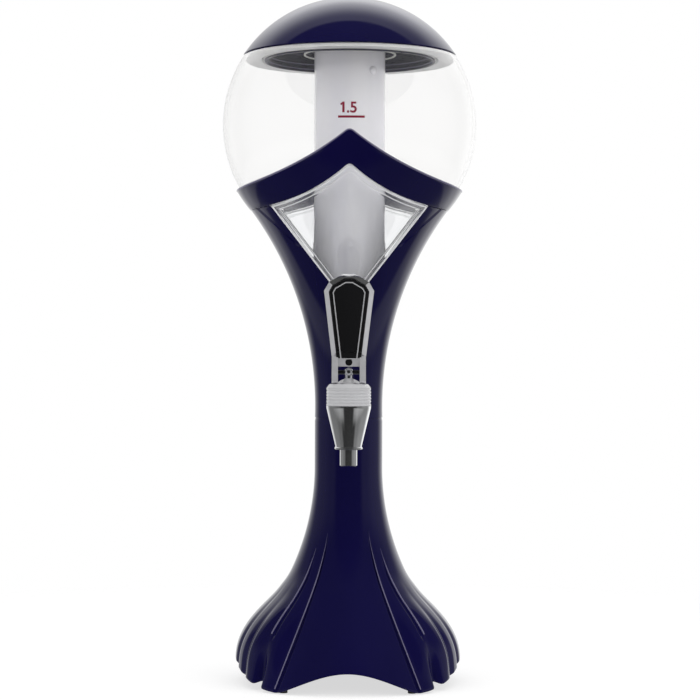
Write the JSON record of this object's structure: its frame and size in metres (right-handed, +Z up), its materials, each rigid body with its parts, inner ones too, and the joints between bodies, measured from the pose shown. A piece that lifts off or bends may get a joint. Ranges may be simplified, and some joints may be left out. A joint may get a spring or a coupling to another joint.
{
  "type": "globe drink tower",
  "caption": "Tabletop drink tower with a clear globe tank, ice tube and domed lid on a trumpet stem and fluted footed base, poured by a self-closing lever tap.",
  "frame": {"origin": "on the table under the middle of the base", "axes": "+Z up, -Y to the front where the tap is, +X to the right seen from the front"},
  "size_m": [0.1708, 0.1746, 0.4598],
  "materials": {
    "navy_gloss": "high-gloss deep navy moulded plastic",
    "clear_tank": "clear moulded plastic",
    "clear_lens": "clear moulded plastic with a bevelled border",
    "frosted_tube": "translucent white plastic, gloss outside",
    "silicone": "pale silicone",
    "black_rubber": "matt black rubber",
    "tap_white": "translucent white ribbed plastic",
    "nylon": "white nylon",
    "chrome_plate": "bright chrome plating",
    "spring_steel": "stainless steel",
    "black_gloss": "gloss black panel"
  },
  "bodies": {
    "stand": {"base_skirt": "navy_gloss", "foot_pads": "black_rubber", "stem_shell": "navy_gloss", "crown_band": "navy_gloss", "front_window": "clear_lens", "rear_window": "clear_lens", "globe_tank": "clear_tank", "tank_washer": "silicone", "tank_nut": "nylon", "tap_body": "tap_white", "tap_cap": "tap_white", "tap_nozzle": "chrome_plate", "tap_gasket": "silicone", "nozzle_seal": "silicone", "spindle_seal": "black_rubber", "valve_spring": "spring_steel"},
    "lid": {"lid_dome": "navy_gloss", "lid_plate": "navy_gloss", "lid_seal": "silicone"},
    "tube": {"ice_tube": "frosted_tube"},
    "valve": {"valve_spindle": "chrome_plate", "valve_plug": "silicone"},
    "lever": {"lever_frame": "chrome_plate", "lever_insert": "black_gloss", "lever_bezel": "chrome_plate", "lever_pin": "spring_steel"}
  },
  "joints": [
    {"name": "lid_lift", "type": "slide", "parent": "stand", "child": "lid", "axis": [0, 0, 1], "range_m": [0, 0.2]},
    {"name": "tube_twist", "type": "hinge", "parent": "lid", "child": "tube", "pos_m": [0, 0, 0.43], "axis": [0, 0, 1], "range_deg": [0, 40]},
    {"name": "valve_lift", "type": "slide", "parent": "stand", "child": "valve", "axis": [0, 0, 1], "range_m": [0, 0.00246], "deforming": ["valve_spring"]},
    {"name": "lever_tilt", "type": "hinge", "parent": "valve", "child": "lever", "pos_m": [0, -0.063, 0.2086], "axis": [1, 0, 0], "range_deg": [0, 35], "stiffness_Nm_per_rad": 0.12, "springref_deg": -14.32}
  ],
  "couplings": [
    {"joint": "valve_lift", "follows": "lever_tilt", "m_per_rad": 0.004}
  ]
}
